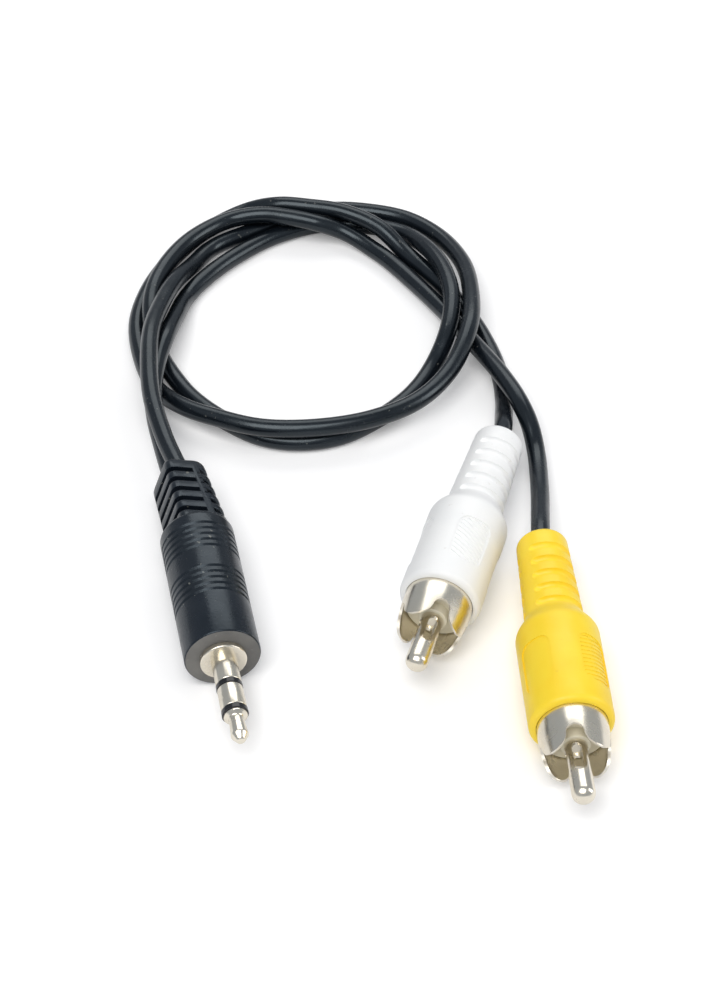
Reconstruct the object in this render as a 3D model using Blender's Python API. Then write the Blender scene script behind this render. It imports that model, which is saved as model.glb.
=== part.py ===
"""Audio video cable: a 3.5 mm jack plug with two black leads, one to a white and one to a yellow RCA plug.

The frame stands on the surface that the cable lies on, +Z up, below the middle of the three plugs.
Each plug is built in its own frame: its front face at y = 0, its metal end towards -Y, +X to its side.
Along a plug, a place is given as its distance in front of the moulded barrel's front face.
"""
import math

import bmesh
import bpy
from mathutils import Matrix

MM = 0.001

# clearance between pieces that are moulded or pressed together
FIT = 0.05 * MM
# clearance between a cut lead end and what it meets
END_GAP = 0.3 * MM
SIDES = 28
SMALL_SIDES = 16

# leads
LEAD_R = 1.35 * MM
LEAD_BORE_R = LEAD_R + 0.15 * MM
LEAD_POINTS = 80
CORE_R = 0.4 * MM
SHIELD_R = 0.25 * MM
CORE_SIDE = 0.5 * MM
SHIELD_SIDE = -0.62 * MM

# jack plug
JACK_FRONT = (-20.20 * MM, -8.65 * MM)
JACK_TURN = math.radians(11.35)
JACK_R = 5.2 * MM
JACK_LENGTH = 23.3 * MM
JACK_SHOULDER = 0.9 * MM
JACK_GROOVE_STARTS = (7.9 * MM, 16.3 * MM)
JACK_GROOVES = 5
JACK_GROOVE_PITCH = 1.1 * MM
JACK_GROOVE_WIDTH = 0.5 * MM
JACK_GROOVE_DEPTH = 0.25 * MM
JACK_BOOT_LENGTH = 11.5 * MM
JACK_BOOT_ROOT = (7.4 * MM, 8.6 * MM)
JACK_BOOT_END = (6.2 * MM, 7.8 * MM)
JACK_BOOT_CORNERS = (2.6 * MM, 1.2 * MM, 2.2 * MM, 2.4 * MM)
JACK_BOOT_BEND = math.radians(4.5)
JACK_BOOT_ROLL = math.radians(20)
JACK_SLOTS = 5
JACK_SLOT_PITCH = 2.1 * MM
JACK_SLOT_FIRST = JACK_LENGTH + 1.0 * MM
JACK_SLOT_WIDTH = 0.9 * MM
JACK_SLOT_SECTION = ((0.9 * MM, 7 * MM), (0.9 * MM, 3.2 * MM), (-1.2 * MM, 3.2 * MM), (-1.8 * MM, 2.6 * MM),
                     (-1.8 * MM, -2.6 * MM), (-7 * MM, -2.6 * MM), (-7 * MM, 7 * MM))
JACK_NOTCH_SECTION = ((2.1 * MM, 7 * MM), (2.1 * MM, -2.6 * MM), (7 * MM, -2.6 * MM), (7 * MM, 7 * MM))
JACK_LEADS = ((0.5 * MM, 1.45 * MM), (-0.5 * MM, -1.45 * MM))
JACK_LEAD_DEPTH = 3.5 * MM
JACK_MOUTH_R = 2.4 * MM
JACK_NOSE_WALL = 1.0 * MM
JACK_MOULD_R = 3.9 * MM
JACK_BACK_WALL = 3.3 * MM
JACK_MOULD_END = JACK_LENGTH - JACK_BACK_WALL
JACK_CHAMBER_R = 3.2 * MM
JACK_WEB_END = 4.6 * MM

# jack contacts, one inside the other
FLANGE_R = 3.18 * MM
FLANGE_FRONT = 0.92 * MM
NECK_R = 2.1 * MM
NECK_END = 6.4 * MM
CONTACT_R = 1.75 * MM
INSULATOR_R = 1.79 * MM
ROD_R = 0.45 * MM
TUBE_WALL = 0.25 * MM
REAR_INSULATOR = (5.15 * MM, 5.9 * MM)
FRONT_INSULATOR = (9.65 * MM, 10.4 * MM)
TIP_END = 14.92 * MM
TIP_COLLAR_R = 1.6 * MM
TIP_WAIST = (11.15 * MM, 1.02 * MM)
TIP_SHOULDER = (13.9 * MM, 1.2 * MM)
TIP_NOSE_R = 0.55 * MM
REAR_TUBE_END = 7.5 * MM
RING_TUBE_END = 9.2 * MM
FRONT_TUBE_END = 10.6 * MM
ROD_END = 12.4 * MM

# RCA plugs
WHITE_FRONT = (8.79 * MM, 0.86 * MM)
WHITE_TURN = math.radians(-16.44)
WHITE_PADS = math.radians(24)
WHITE_GROOVES = math.radians(52)
WHITE_SLOTS = math.radians(20)
YELLOW_FRONT = (25.64 * MM, -21.23 * MM)
YELLOW_TURN = math.radians(4.14)
YELLOW_PADS = math.radians(44)
YELLOW_GROOVES = math.radians(46)
YELLOW_SLOTS = math.radians(-6)
RCA_R = 5.7 * MM
RCA_LIP = 0.8 * MM
RCA_LENGTH = 15.05 * MM
RCA_BOOT_ROOT = (19.0 * MM, 4.07 * MM)
RCA_BOOT_END = (33.3 * MM, 3.59 * MM)
RCA_BOOT_ROUND = 0.9 * MM
RCA_GROOVES = 5
RCA_GROOVE_FIRST = RCA_BOOT_ROOT[0] + 0.2 * MM
RCA_GROOVE_PITCH = 2.6 * MM
RCA_GROOVE_WIDTH = 1.0 * MM
RCA_GROOVE_DEPTH = 0.5 * MM
RCA_GROOVE_SWEEPS = (math.radians(164), math.radians(120))
PAD_DEPTH = 0.25 * MM
PAD_SPAN = (3.8 * MM, 11.9 * MM)
PAD_HALF_WIDTH = 2.5 * MM
PADS = 4
RCA_LEAD_DEPTH = 3.3 * MM
RCA_BACK_WALL = 2.55 * MM
RCA_CAVITY_END = RCA_LENGTH - RCA_BACK_WALL

SHELL_R = 4.72 * MM
SHELL_TIP_R = 4.3 * MM
SHELL_WALL = 0.4 * MM
SHELL_BEND = 2.0 * MM
SHELL_TIP = 6.1 * MM
SHELL_TAIL = 4.4 * MM
SHELL_SLOT_WIDTH = 2.5 * MM
SHELL_SLOT_BASE = 3.1 * MM
PETAL_ROUND = 1.8 * MM
DISC_FACE = 1.8 * MM
DISC_EDGE = 0.15 * MM
DISC_TAIL = 3.2 * MM
BOSS_R = 2.0 * MM
BOSS_FACE = 3.3 * MM
PIN_R = 1.57 * MM
PIN_BORE_R = 1.1 * MM
PIN_TIP = 12.35 * MM
PIN_NOSE = 1.3 * MM
PIN_TAIL_R = 0.8 * MM
PIN_TAIL = 6.8 * MM
WINDOW = (3.9 * MM, 8.35 * MM)
WINDOW_WIDTH = 1.3 * MM
MOULD_END = RCA_CAVITY_END - END_GAP
MOULD_CHAMBER_R = 3.0 * MM

JACK_AXIS_Z = JACK_R
RCA_AXIS_Z = RCA_R

# route of the white plug's lead, in millimetres, from inside the jack's boot to inside the plug's boot
WHITE_ROUTE = (
    (-26.5, 22.0, 6.6), (-27.5, 25.4, 6.6), (-30.1, 32.4, 6.6), (-32.4, 40.7, 7.1), (-33.3, 48.6, 7.3),
    (-33.4, 55.9, 7.0), (-32.5, 62.8, 5.9), (-30.8, 70.3, 4.4), (-28.3, 77.2, 2.2), (-25.6, 82.3, 1.4),
    (-19.7, 86.4, 1.4), (-12.5, 90.5, 1.4), (-6.9, 92.1, 1.4), (-0.6, 91.7, 1.4), (5.5, 89.6, 1.5),
    (10.4, 84.9, 1.9), (14.0, 76.7, 3.3), (15.1, 67.3, 4.9), (14.5, 57.8, 5.8), (11.5, 49.6, 4.6),
    (6.6, 43.3, 4.2), (-0.2, 39.3, 4.2), (-8.1, 37.4, 4.2), (-16.3, 37.4, 4.2), (-23.3, 40.2, 3.7),
    (-28.0, 43.1, 3.1), (-32.9, 49.6, 1.4), (-35.6, 57.9, 1.4), (-36.3, 64.7, 1.4), (-34.8, 72.7, 1.4),
    (-31.2, 80.6, 1.4), (-26.0, 87.4, 1.4), (-20.1, 90.7, 2.4), (-15.2, 89.9, 4.2), (-10.3, 89.0, 4.5),
    (-4.7, 87.5, 4.6), (1.0, 84.6, 3.8), (5.5, 80.1, 1.9), (11.0, 73.1, 1.4), (16.0, 63.1, 1.4),
    (19.0, 52.7, 1.4), (19.5, 46.0, 1.8), (19.2, 40.5, 3.4), (18.9, 36.3, 5.1), (18.2, 32.8, 5.7),
    (17.3, 29.6, 5.7))

# route of the yellow plug's lead, the same way
YELLOW_ROUTE = (
    (-27.5, 21.8, 3.8), (-28.4, 25.1, 3.8), (-30.5, 33.2, 3.8), (-32.0, 39.7, 4.0), (-32.6, 44.7, 4.4),
    (-32.3, 52.2, 4.5), (-31.4, 57.1, 4.6), (-30.3, 63.5, 3.2), (-29.0, 70.2, 1.5), (-26.2, 75.1, 1.4),
    (-21.7, 80.4, 1.4), (-15.3, 85.6, 1.4), (-7.6, 88.5, 1.4), (-0.7, 88.0, 1.4), (4.9, 85.6, 1.8),
    (8.7, 79.4, 3.7), (11.1, 72.9, 4.7), (12.1, 66.1, 4.9), (11.3, 58.8, 4.1), (8.9, 53.3, 1.8),
    (5.4, 47.2, 1.4), (0.7, 42.3, 1.4), (-4.9, 38.5, 1.4), (-10.8, 37.3, 1.4), (-16.4, 38.3, 1.4),
    (-22.1, 42.0, 1.4), (-26.9, 46.7, 1.4), (-30.2, 51.9, 1.4), (-32.6, 57.1, 1.6), (-34.0, 62.6, 3.2),
    (-34.1, 68.4, 3.8), (-32.5, 74.7, 3.9), (-28.8, 81.5, 3.8), (-23.1, 86.5, 3.7), (-17.7, 87.1, 4.4),
    (-13.8, 86.3, 4.6), (-9.2, 85.6, 4.0), (-4.4, 85.1, 2.4), (0.2, 81.9, 1.4), (6.5, 73.8, 1.4),
    (12.1, 64.6, 1.9), (15.6, 56.9, 3.1), (18.9, 49.1, 4.5), (21.4, 42.9, 4.7), (22.9, 38.7, 3.7),
    (23.7, 34.5, 2.3), (23.8, 25.8, 3.1), (23.3, 15.7, 5.4), (23.2, 12.0, 5.7), (23.5, 8.7, 5.7))


def empty_scene():
    """Remove what the scene starts with."""
    for obj in list(bpy.data.objects):
        bpy.data.objects.remove(obj)


def material(name, colour, roughness, metallic=0.0):
    """A Principled material of one colour."""
    mat = bpy.data.materials.new(name)
    mat.use_nodes = True
    shader = mat.node_tree.nodes["Principled BSDF"]
    shader.inputs["Base Color"].default_value = (*colour, 1.0)
    shader.inputs["Roughness"].default_value = roughness
    shader.inputs["Metallic"].default_value = metallic
    return mat


def plug_frame(name, front, turn, height):
    """An empty at the middle of a plug's front face, its -Y axis pointing out of the plug."""
    frame = bpy.data.objects.new(name, None)
    frame.location = (front[0], front[1], height)
    frame.rotation_euler = (0.0, 0.0, turn)
    bpy.context.collection.objects.link(frame)
    return frame


def add_object(name, bm, frame, mat=None):
    """Turn a bmesh into an object in a plug's frame, smooth apart from its sharp edges."""
    bmesh.ops.recalc_face_normals(bm, faces=bm.faces)
    mesh = bpy.data.meshes.new(name)
    bm.to_mesh(mesh)
    bm.free()
    mesh.shade_smooth()
    mesh.set_sharp_from_angle(angle=math.radians(30))
    obj = bpy.data.objects.new(name, mesh)
    obj.parent = frame
    bpy.context.collection.objects.link(obj)
    if mat:
        mesh.materials.append(mat)
    else:
        obj.hide_render = True
        obj.display_type = "WIRE"
    return obj


def turned(name, outline, frame, mat=None, sides=SIDES, start=0.0, sweep=math.tau):
    """Turn an outline of (distance in front, radius) points about the plug's axis.

    An outline that ends on the axis makes a solid; any other is taken as a closed ring.
    """
    bm = bmesh.new()
    verts = [bm.verts.new((0.0, -front, radius)) for front, radius in outline]
    edges = [bm.edges.new(pair) for pair in zip(verts, verts[1:])]
    if outline[0][1] > 0.0:
        edges.append(bm.edges.new((verts[-1], verts[0])))
    full = sweep > math.tau - 0.001
    if not full:
        bm.faces.new(verts)
    geometry = verts + edges + list(bm.faces)
    bmesh.ops.rotate(bm, verts=verts, cent=(0, 0, 0), matrix=Matrix.Rotation(start, 3, "Y"))
    bmesh.ops.spin(bm, geom=geometry, cent=(0, 0, 0), axis=(0, 1, 0), angle=sweep, steps=sides,
                   use_merge=full, use_duplicate=False)
    bmesh.ops.remove_doubles(bm, verts=bm.verts, dist=1e-7)
    return add_object(name, bm, frame, mat)


def prism(name, outline, frame, reach=8 * MM, roll=0.0):
    """Extrude an outline of (side, distance in front) points right through the plug, then roll it."""
    bm = bmesh.new()
    verts = [bm.verts.new((side, -front, -reach)) for side, front in outline]
    face = bm.faces.new(verts)
    top = bmesh.ops.extrude_face_region(bm, geom=[face])["geom"]
    raised = [item for item in top if isinstance(item, bmesh.types.BMVert)]
    bmesh.ops.translate(bm, verts=raised, vec=(0, 0, 2 * reach))
    bmesh.ops.rotate(bm, verts=bm.verts, cent=(0, 0, 0), matrix=Matrix.Rotation(roll, 3, "Y"))
    return add_object(name, bm, frame)


def cylinder_cutter(name, frame, radius, back, front, side=0.0, up=0.0, sides=SIDES):
    """A round cutter along the plug's axis, or beside it."""
    cutter = turned(name, [(back, 0.0), (back, radius), (front, radius), (front, 0.0)], frame, sides=sides)
    cutter.location = (side, 0.0, up)
    return cutter


def boolean(target, tool, operation="DIFFERENCE"):
    """Cut or join one closed mesh with another."""
    step = target.modifiers.new(tool.name, "BOOLEAN")
    step.operation = operation
    step.solver = "EXACT"
    step.object = tool


def arc(centre, radius, start, end, steps):
    """Points on an arc in an outline's plane, angles in degrees."""
    points = []
    for i in range(steps + 1):
        angle = math.radians(start + (end - start) * i / steps)
        points.append((centre[0] + radius * math.cos(angle), centre[1] + radius * math.sin(angle)))
    return points


def slot_outline(width, base, tip, flare=0.0):
    """A slot's outline with a round base, and with its mouth rounded outwards by the flare radius."""
    half = width / 2
    right = arc((0.0, base + half), half, -90, 0, 5)
    if flare:
        corner = arc((half + flare, tip - flare), flare, 180, 100, 6)
        right += corner + [(half + flare, tip + flare), (0.0, tip + flare)]
    else:
        right += arc((0.0, tip - half), half, 0, 90, 5)
    left = [(-side, front) for side, front in reversed(right) if side > 1e-9]
    return right + left


def smooth_route(route):
    """Points a small step apart on a smooth curve through the route's points, in metres."""
    points = [tuple(value * MM for value in point) for point in route]
    first = [2 * a - b for a, b in zip(points[0], points[1])]
    last = [2 * a - b for a, b in zip(points[-1], points[-2])]
    points = [tuple(first)] + points + [tuple(last)]
    curve = []
    steps = 24
    for i in range(1, len(points) - 2):
        p0, p1, p2, p3 = points[i - 1:i + 3]
        t1 = math.dist(p0, p1) ** 0.5
        t2 = t1 + math.dist(p1, p2) ** 0.5
        t3 = t2 + math.dist(p2, p3) ** 0.5
        for step in range(steps):
            t = t1 + (t2 - t1) * step / steps
            point = []
            for x0, x1, x2, x3 in zip(p0, p1, p2, p3):
                a1 = x0 + (x1 - x0) * t / t1
                a2 = x1 + (x2 - x1) * (t - t1) / (t2 - t1)
                a3 = x2 + (x3 - x2) * (t - t2) / (t3 - t2)
                b1 = a1 + (a2 - a1) * t / t2
                b2 = a2 + (a3 - a2) * (t - t1) / (t3 - t1)
                point.append(b1 + (b2 - b1) * (t - t1) / (t2 - t1))
            curve.append(point)
    curve.append(list(points[-2]))
    return curve


def evenly(curve, count):
    """Points at equal steps along a curve, none of them too low for a lead lying on the surface."""
    lengths = [0.0]
    for a, b in zip(curve, curve[1:]):
        lengths.append(lengths[-1] + math.dist(a, b))
    points = []
    place = 0
    for i in range(count):
        target = lengths[-1] * i / (count - 1)
        while place < len(curve) - 2 and lengths[place + 1] < target:
            place += 1
        share = (target - lengths[place]) / (lengths[place + 1] - lengths[place])
        point = [a + (b - a) * share for a, b in zip(curve[place], curve[place + 1])]
        points.append([point[0], point[1], max(point[2], LEAD_R + FIT)])
    return points


def round_wire(name, points, radius, mat, frame=None, resolution=2):
    """A round wire or lead along straight runs between the points, with closed ends."""
    curve = bpy.data.curves.new(name, "CURVE")
    curve.dimensions = "3D"
    curve.bevel_depth = radius
    curve.bevel_resolution = resolution
    curve.use_fill_caps = True
    spline = curve.splines.new("POLY")
    spline.points.add(len(points) - 1)
    for place, point in zip(spline.points, points):
        place.co = (*point, 1.0)
    curve.materials.append(mat)
    obj = bpy.data.objects.new(name, curve)
    obj.parent = frame
    bpy.context.collection.objects.link(obj)
    return obj


def jack_overmould(frame, mat):
    """The soft grip barrel and its slotted boot, moulded in one piece over the inner moulding."""
    inner = JACK_MOULD_R + FIT
    outline = [(-JACK_MOULD_END - FIT, 0.0), (-JACK_MOULD_END - FIT, inner), (-JACK_NOSE_WALL, inner),
               (-JACK_NOSE_WALL, JACK_MOUTH_R), (0.0, JACK_MOUTH_R), (0.0, JACK_R)]
    half = JACK_GROOVE_WIDTH / 2
    for start in JACK_GROOVE_STARTS:
        for i in range(JACK_GROOVES):
            middle = -start - i * JACK_GROOVE_PITCH
            outline += [(middle + half, JACK_R), (middle + half / 3, JACK_R - JACK_GROOVE_DEPTH),
                        (middle - half / 3, JACK_R - JACK_GROOVE_DEPTH), (middle - half, JACK_R)]
    outline += arc((-JACK_LENGTH + JACK_SHOULDER, JACK_R - JACK_SHOULDER), JACK_SHOULDER, 90, 180, 4)
    outline.append((-JACK_LENGTH, 0.0))
    body = turned("jack_overmould", outline, frame, mat)
    boot_frame = bpy.data.objects.new("bent_boot", None)
    boot_frame.location = in_boot(0.0, 0.0, 0.0)
    boot_frame.rotation_euler = (0.0, 0.0, JACK_BOOT_BEND)
    boot_frame.parent = frame
    bpy.context.collection.objects.link(boot_frame)
    boolean(body, jack_boot(boot_frame), "UNION")
    for i in range(JACK_SLOTS):
        middle = -JACK_SLOT_FIRST - i * JACK_SLOT_PITCH
        boolean(body, section_cutter("slot_cutter", JACK_SLOT_SECTION, boot_frame, middle))
        boolean(body, section_cutter("notch_cutter", JACK_NOTCH_SECTION, boot_frame, middle))
    for side, up in JACK_LEADS:
        back = -JACK_LENGTH - JACK_BOOT_LENGTH - MM
        boolean(body, cylinder_cutter("lead_cutter", boot_frame, LEAD_BORE_R, back, -JACK_MOULD_END + MM,
                                      side, up, SMALL_SIDES))


def in_boot(side, back, up):
    """A place in the bent boot, given as if the boot were straight, in the plug's own frame."""
    behind = back - JACK_LENGTH
    turn = JACK_BOOT_BEND
    return (side * math.cos(turn) - behind * math.sin(turn),
            JACK_LENGTH + side * math.sin(turn) + behind * math.cos(turn), up)


def section_cutter(name, section, frame, middle):
    """A thin block with a given (side, up) outline, standing across the boot and rolled with it."""
    half = JACK_SLOT_WIDTH / 2
    bm = bmesh.new()
    loops = [[bm.verts.new((side, -front, up)) for side, up in section]
             for front in (middle - half, middle + half)]
    count = len(section)
    for i in range(count):
        j = (i + 1) % count
        bm.faces.new((loops[0][i], loops[0][j], loops[1][j], loops[1][i]))
    bm.faces.new(loops[0])
    bm.faces.new(list(reversed(loops[1])))
    bmesh.ops.rotate(bm, verts=bm.verts, cent=(0, 0, 0), matrix=Matrix.Rotation(JACK_BOOT_ROLL, 3, "Y"))
    return add_object(name, bm, frame)


def rounded_rectangle(width, height, corners, steps=4):
    """Points round a rectangle with round corners, width across and height up, from the upper right."""
    points = []
    for x, z, start, corner in zip((1, -1, -1, 1), (1, 1, -1, -1), (0, 90, 180, 270), corners):
        centre = (x * (width / 2 - corner), z * (height / 2 - corner))
        points += arc(centre, corner, start, start + 90, steps)
    return points


def jack_boot(frame):
    """The boot behind the barrel: a tapered block with round corners, rolled to one side."""
    bm = bmesh.new()
    loops = []
    end = -JACK_LENGTH - JACK_BOOT_LENGTH
    sections = ((JACK_BOOT_ROOT, 0.0, -JACK_LENGTH + 2 * JACK_SHOULDER), (JACK_BOOT_END, 0.0, end + 0.5 * MM),
                (JACK_BOOT_END, 0.4 * MM, end))
    for (width, height), inset, front in sections:
        corners = [corner - inset for corner in JACK_BOOT_CORNERS]
        ring = rounded_rectangle(width - 2 * inset, height - 2 * inset, corners)
        loops.append([bm.verts.new((x, -front, z)) for x, z in ring])
    for low, high in zip(loops, loops[1:]):
        count = len(low)
        for i in range(count):
            bm.faces.new((low[i], low[(i + 1) % count], high[(i + 1) % count], high[i]))
    bm.faces.new(loops[0])
    bm.faces.new(list(reversed(loops[-1])))
    bmesh.ops.rotate(bm, verts=bm.verts, cent=(0, 0, 0), matrix=Matrix.Rotation(JACK_BOOT_ROLL, 3, "Y"))
    return add_object("boot_block", bm, frame)


def jack_contacts(frame, mats):
    """The sleeve, ring and tip contacts and the insulators between them, turned and pressed together."""
    radii = [ROD_R]
    for _ in range(4):
        radii.append(radii[-1] + FIT)
        radii.append(radii[-1] + TUBE_WALL)
    front_bore, front_tube, ring_bore, ring_tube, rear_bore, rear_tube, sleeve_bore = radii[1:8]
    turned("jack_sleeve_contact", [
        (FIT, NECK_R), (FIT, FLANGE_R - 0.2 * MM), (0.25 * MM, FLANGE_R),
        (FLANGE_FRONT - 0.2 * MM, FLANGE_R), (FLANGE_FRONT, FLANGE_R - 0.2 * MM),
        (FLANGE_FRONT, CONTACT_R), (REAR_INSULATOR[0] - FIT, CONTACT_R),
        (REAR_INSULATOR[0] - FIT, sleeve_bore), (-NECK_END, sleeve_bore), (-NECK_END, NECK_R)],
        frame, mats["metal"])
    turned("jack_rear_insulator", [
        (REAR_INSULATOR[0], rear_tube), (REAR_INSULATOR[0], INSULATOR_R), (REAR_INSULATOR[1], INSULATOR_R),
        (REAR_INSULATOR[1], rear_bore), (-REAR_TUBE_END, rear_bore), (-REAR_TUBE_END, rear_tube)],
        frame, mats["black_plastic"])
    turned("jack_ring_contact", [
        (REAR_INSULATOR[1] + FIT, ring_tube), (REAR_INSULATOR[1] + FIT, CONTACT_R),
        (FRONT_INSULATOR[0] - FIT, CONTACT_R), (FRONT_INSULATOR[0] - FIT, ring_bore),
        (-RING_TUBE_END, ring_bore), (-RING_TUBE_END, ring_tube)], frame, mats["metal"])
    turned("jack_front_insulator", [
        (FRONT_INSULATOR[0], front_tube), (FRONT_INSULATOR[0], INSULATOR_R),
        (FRONT_INSULATOR[1], INSULATOR_R),
        (FRONT_INSULATOR[1], front_bore), (-FRONT_TUBE_END, front_bore), (-FRONT_TUBE_END, front_tube)],
        frame, mats["black_plastic"])
    turned("jack_tip_contact", [
        (-ROD_END, 0.0), (-ROD_END, ROD_R), (FRONT_INSULATOR[1] + FIT, ROD_R),
        (FRONT_INSULATOR[1] + FIT, TIP_COLLAR_R), (FRONT_INSULATOR[1] + 0.35 * MM, TIP_COLLAR_R),
        TIP_WAIST, TIP_SHOULDER, (TIP_END, TIP_NOSE_R), (TIP_END, 0.0)], frame, mats["metal"])
    return {"tip": ROD_R, "ring": ring_tube}


def jack_inner_mould(frame, mat):
    """The hard moulding that holds the sleeve contact and leaves a chamber for the wires."""
    turned("jack_inner_mould", [
        (-JACK_NOSE_WALL - FIT, NECK_R + FIT), (-JACK_NOSE_WALL - FIT, JACK_MOULD_R),
        (-JACK_MOULD_END, JACK_MOULD_R), (-JACK_MOULD_END, JACK_CHAMBER_R),
        (-JACK_WEB_END, JACK_CHAMBER_R), (-JACK_WEB_END, NECK_R + FIT)], frame, mat)


def jack_wires(frame, mats, radii):
    """Two insulated cores and two shield tails, from the ends of the leads to the contacts."""
    lead_end = JACK_LENGTH + JACK_BOOT_LENGTH - JACK_LEAD_DEPTH - END_GAP
    bore_mouth = JACK_MOULD_END + FIT
    core_seats = (("tip", 1, radii["tip"], FRONT_TUBE_END + 0.4 * MM),
                  ("ring", -1, radii["ring"], REAR_TUBE_END + 0.4 * MM))
    for (side, up), (label, above, radius, seat) in zip(JACK_LEADS, core_seats):
        lap = above * (radius + FIT + CORE_R)
        points = [in_boot(side + CORE_SIDE, lead_end, up), in_boot(side + CORE_SIDE, bore_mouth, up),
                  (side + CORE_SIDE, bore_mouth - 2 * MM, up), (0.0, seat + 4 * MM, lap), (0.0, seat, lap)]
        round_wire(f"jack_{label}_core_wire", points, CORE_R, mats["core"], frame)
        tail = above * (NECK_R + FIT + SHIELD_R)
        points = [in_boot(side + SHIELD_SIDE, lead_end, up), in_boot(side + SHIELD_SIDE, bore_mouth, up),
                  (-1.2 * MM, seat + 5 * MM, 0.7 * tail), (-0.9 * MM, NECK_END + MM, 0.95 * tail),
                  (0.0, NECK_END - 0.5 * MM, tail), (0.0, JACK_WEB_END + 0.3 * MM, tail)]
        round_wire(f"jack_{label}_shield_tail", points, SHIELD_R, mats["copper"], frame)


def rca_overmould(name, frame, pads, grooves, mat):
    """The soft grip barrel with its pads and ribbed boot, moulded in one piece."""
    root_front, root_r = RCA_BOOT_ROOT
    end_front, end_r = RCA_BOOT_END
    lip = arc((-RCA_LIP, RCA_R - RCA_LIP), RCA_LIP, 0, 90, 4)
    shoulder = []
    steps = 6
    for i in range(1, steps):
        share = i / steps
        drop = 0.5 - 0.5 * math.cos(math.pi * share)
        shoulder.append((-RCA_LENGTH - (root_front - RCA_LENGTH) * share, RCA_R - (RCA_R - root_r) * drop))
    tail = arc((-end_front + RCA_BOOT_ROUND, end_r - RCA_BOOT_ROUND), RCA_BOOT_ROUND, 90, 180, 4)
    outline = [(0.0, SHELL_R + FIT), *lip, (-RCA_LENGTH, RCA_R), *shoulder, (-root_front, root_r), *tail,
               (-end_front, LEAD_BORE_R), (-RCA_CAVITY_END, LEAD_BORE_R), (-RCA_CAVITY_END, SHELL_R + FIT)]
    body = turned(name, outline, frame, mat)
    slope = (root_r - end_r) / (end_front - root_front)
    for half_turn, sweep in zip((0.0, math.pi), RCA_GROOVE_SWEEPS):
        start = grooves + half_turn - sweep / 2
        for i in range(RCA_GROOVES):
            front = -RCA_GROOVE_FIRST - i * RCA_GROOVE_PITCH
            floor = root_r - slope * (-front - root_front) - RCA_GROOVE_DEPTH
            half = RCA_GROOVE_WIDTH / 2
            ring = [(front - half, RCA_R), (front - half, floor + 0.15 * MM), (front - half / 2, floor),
                    (front + half / 2, floor), (front + half, floor + 0.15 * MM), (front + half, RCA_R)]
            boolean(body, turned("groove_cutter", ring, frame, sides=10, start=start, sweep=sweep))
    for i in range(PADS):
        boolean(body, pad_cutter(frame, pads + i * math.tau / PADS))


def pad_cutter(frame, roll):
    """A shallow curved cutter for one grip pad, following the barrel's surface."""
    floor = RCA_R - PAD_DEPTH
    half_angle = PAD_HALF_WIDTH / RCA_R
    ring = [(-PAD_SPAN[1], floor), (-PAD_SPAN[1], RCA_R + MM),
            (-PAD_SPAN[0], RCA_R + MM), (-PAD_SPAN[0], floor)]
    return turned("pad_cutter", ring, frame, sides=6, start=roll - half_angle, sweep=2 * half_angle)


def rca_shell(name, frame, slots, mat):
    """The outer contact: a rolled sleeve whose front is slit into four petals bent a little inwards."""
    outline = [(-SHELL_TAIL, SHELL_R), (SHELL_BEND, SHELL_R), (SHELL_TIP, SHELL_TIP_R),
               (SHELL_TIP, SHELL_TIP_R - SHELL_WALL), (SHELL_BEND, SHELL_R - SHELL_WALL),
               (-SHELL_TAIL, SHELL_R - SHELL_WALL)]
    body = turned(name, outline, frame, mat)
    cut = slot_outline(SHELL_SLOT_WIDTH, SHELL_SLOT_BASE, SHELL_TIP, PETAL_ROUND)
    for quarter in range(2):
        boolean(body, prism("slot_cutter", cut, frame, roll=slots + quarter * math.pi / 2))


def rca_insulator(name, frame, mat):
    """The pressed disc that centres the pin in the shell."""
    rim = SHELL_R - SHELL_WALL - FIT
    hole = PIN_TAIL_R + FIT
    turned(name, [(-DISC_TAIL, hole), (-DISC_TAIL, rim), (DISC_FACE - DISC_EDGE, rim),
                  (DISC_FACE, rim - DISC_EDGE), (DISC_FACE, BOSS_R),
                  (BOSS_FACE, BOSS_R), (BOSS_FACE, hole)], frame, mat)


def rca_pin(name, frame, slots, mat):
    """The hollow centre pin with four windows, its nose rounded and its tail in the insulator."""
    nose = arc((PIN_TIP - PIN_NOSE, PIN_R - PIN_NOSE), PIN_NOSE, 90, 0, 5)
    outline = [(-PIN_TAIL, 0.0), (-PIN_TAIL, PIN_TAIL_R), (BOSS_FACE + FIT, PIN_TAIL_R),
               (BOSS_FACE + FIT, PIN_R), *nose, (PIN_TIP, 0.0)]
    body = turned(name, outline, frame, mat)
    cut = slot_outline(WINDOW_WIDTH, WINDOW[0], WINDOW[1])
    for quarter in range(2):
        roll = slots + quarter * math.pi / 2
        boolean(body, prism("window_cutter", cut, frame, reach=3 * MM, roll=roll))
    boolean(body, cylinder_cutter("bore_cutter", frame, PIN_BORE_R, WINDOW[0] - 0.2 * MM, WINDOW[1] + MM,
                                  sides=SMALL_SIDES))


def rca_inner_mould(name, frame, mat):
    """The hard ring behind the shell that closes the wire chamber."""
    turned(name, [(-SHELL_TAIL - FIT, MOULD_CHAMBER_R), (-SHELL_TAIL - FIT, SHELL_R),
                  (-MOULD_END, SHELL_R), (-MOULD_END, MOULD_CHAMBER_R)], frame, mat)


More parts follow.
